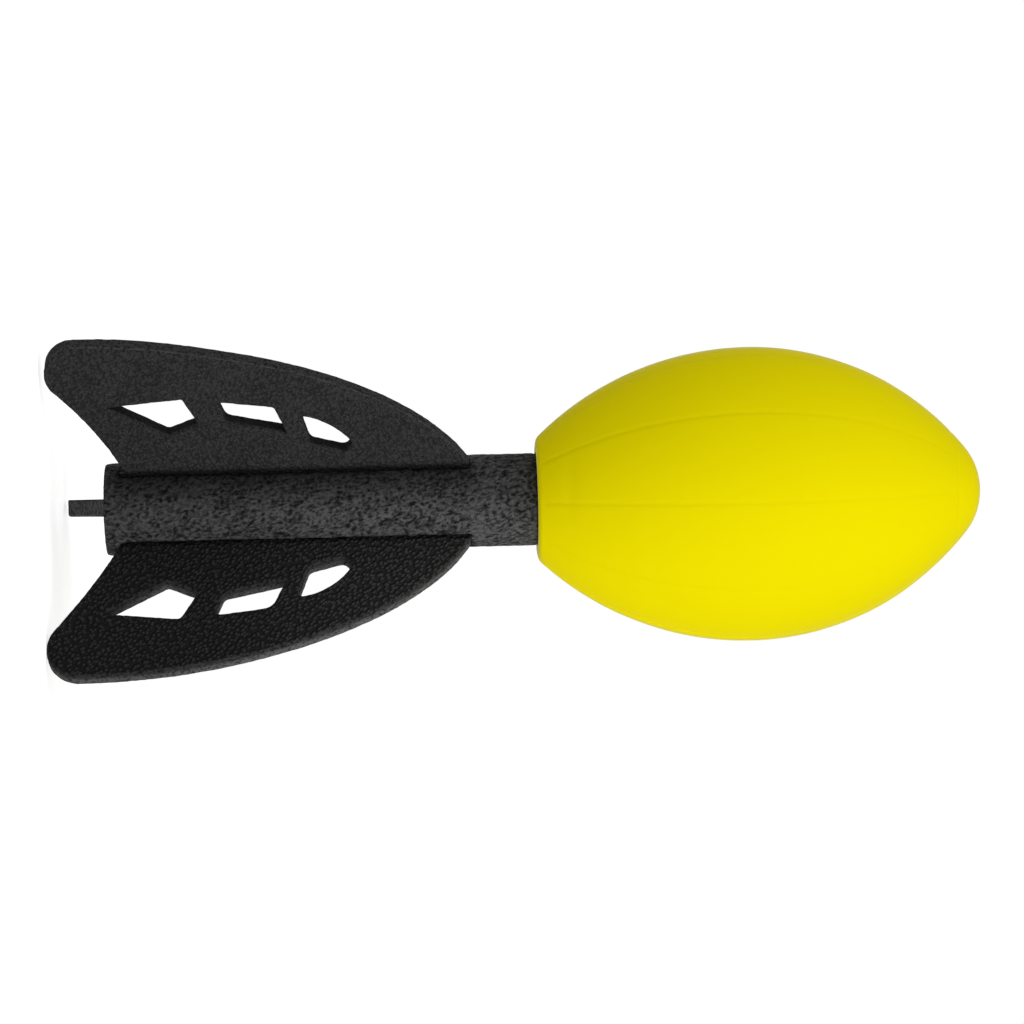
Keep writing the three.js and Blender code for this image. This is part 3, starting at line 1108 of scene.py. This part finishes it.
def backdrop(stage):
    """White to the camera, and an even dim light on the toy."""
    world = bpy.data.worlds.new("studio")
    bpy.context.scene.world = world
    paint = Paint(world)
    room = paint.node("ShaderNodeBackground", None, {"Color": WHITE, "Strength": stage.ambient})
    white = paint.node("ShaderNodeBackground", None, {"Color": WHITE, "Strength": 1.0})
    mixed = paint.node("ShaderNodeMixShader", None, {0: paint.backdrop_rays(), 1: room, 2: white})
    paint.surface(mixed, "ShaderNodeOutputWorld")


def floor_paint(stage):
    """Pale floor that keeps the toy's shadow and fades into the white backdrop."""
    paint = fresh_paint("floor")
    seen = paint.backdrop_rays()
    x, y = paint.parts(paint.place())[:2]
    out = paint.maths("SQRT", x * x + y * y)
    rim = paint.between(out, stage.floor_radius * 0.4, stage.floor_radius * 0.96)
    matt = paint.node("ShaderNodeBsdfDiffuse", None, {"Color": shaded(stage.floor)})
    lift = paint.blend(seen, BLACK, shaded(WHITE, stage.glow))
    glow = paint.node("ShaderNodeEmission", None, {"Color": lift, "Strength": 1.0})
    lit = paint.node("ShaderNodeAddShader", None, {0: matt, 1: glow})
    white = paint.node("ShaderNodeEmission", None, {"Color": WHITE, "Strength": 1.0})
    return paint.surface(paint.node("ShaderNodeMixShader", None, {0: seen * rim, 1: lit, 2: white}))


def floor_mesh(stage):
    made = bmesh.new()
    bmesh.ops.create_circle(made, cap_ends=True, segments=128, radius=stage.floor_radius)
    mesh = to_mesh("floor", made)
    mesh.transform(Matrix.Translation((0, 0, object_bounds()[0][2] - FLOOR_GAP)))
    mesh.materials.append(floor_paint(stage))
    return mesh


def camera(stage):
    """The main view: from beside the tail, and rolled so that the nose points right."""
    ahead = Vector((sin(stage.swing), cos(stage.rise) * cos(stage.swing), sin(stage.rise) * cos(stage.swing)))
    right = (Vector((0, 0, 1)) - ahead * ahead.z).normalized()
    up = right.cross(ahead).normalized()
    across = cos(stage.roll) * right - sin(stage.roll) * up
    above = sin(stage.roll) * right + cos(stage.roll) * up
    data = bpy.data.cameras.new("photo_view")
    data.lens, data.sensor_width, data.sensor_fit = stage.lens, 36.0, "HORIZONTAL"
    thing = add_object("photo_view", data)
    place = Vector(stage.aim) - stage.distance * ahead
    thing.matrix_world = Matrix.Translation(place) @ Matrix((across, above, -ahead)).transposed().to_4x4()
    bpy.context.scene.camera = thing


class TOY_OT_stage(Operator):
    """Set up the floor, backdrop, lights and camera"""

    bl_idname = "foam_toy.stage"
    bl_label = "Stage"

    def execute(self, context):
        stage = context.scene.foam_stage
        ground = add_object("floor", floor_mesh(stage))
        ground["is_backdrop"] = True
        backdrop(stage)
        add_light("side_light", azimuth=60, elevation=5, size=1.2, radiance=stage.side)
        add_light("front_light", azimuth=20, elevation=12, size=1.2, radiance=stage.front)
        add_light("top_light", azimuth=-40, elevation=50, size=1.2, radiance=stage.top)
        add_light("back_light", azimuth=180, elevation=10, size=0.8, radiance=stage.back)
        camera(stage)
        context.scene.view_settings.view_transform = "Standard"
        return {"FINISHED"}


# Sidebar

PIECES = (TOY_OT_head, TOY_OT_tail_rod, TOY_OT_core_tube, TOY_OT_fins, TOY_OT_stage)
SETTINGS = {
    "foam_head": HeadSettings,
    "foam_rod": RodSettings,
    "foam_fins": FinSettings,
    "foam_stage": StageSettings,
}


class VIEW3D_PT_foam_toy(Panel):
    """Pieces of the throwing toy and their sizes"""

    bl_label = "Throwing Toy"
    bl_space_type = "VIEW_3D"
    bl_region_type = "UI"
    bl_category = "Throwing Toy"

    def draw(self, context):
        for piece in PIECES:
            self.layout.operator(piece.bl_idname)
        for name, group in SETTINGS.items():
            box = self.layout.box()
            settings = getattr(context.scene, name)
            for key in group.__annotations__:
                box.prop(settings, key)


CLASSES = (*SETTINGS.values(), *PIECES, VIEW3D_PT_foam_toy)


def register():
    for kind in CLASSES:
        bpy.utils.register_class(kind)
    for name, group in SETTINGS.items():
        setattr(bpy.types.Scene, name, PointerProperty(type=group))


def unregister():
    for name in SETTINGS:
        delattr(bpy.types.Scene, name)
    for kind in reversed(CLASSES):
        bpy.utils.unregister_class(kind)


def main():
    register()
    bpy.ops.foam_toy.head()
    bpy.ops.foam_toy.tail_rod()
    bpy.ops.foam_toy.core_tube()
    bpy.ops.foam_toy.fins()
    bpy.ops.foam_toy.stage()
    bpy.context.view_layer.update()


if __name__ == "__main__":
    main()
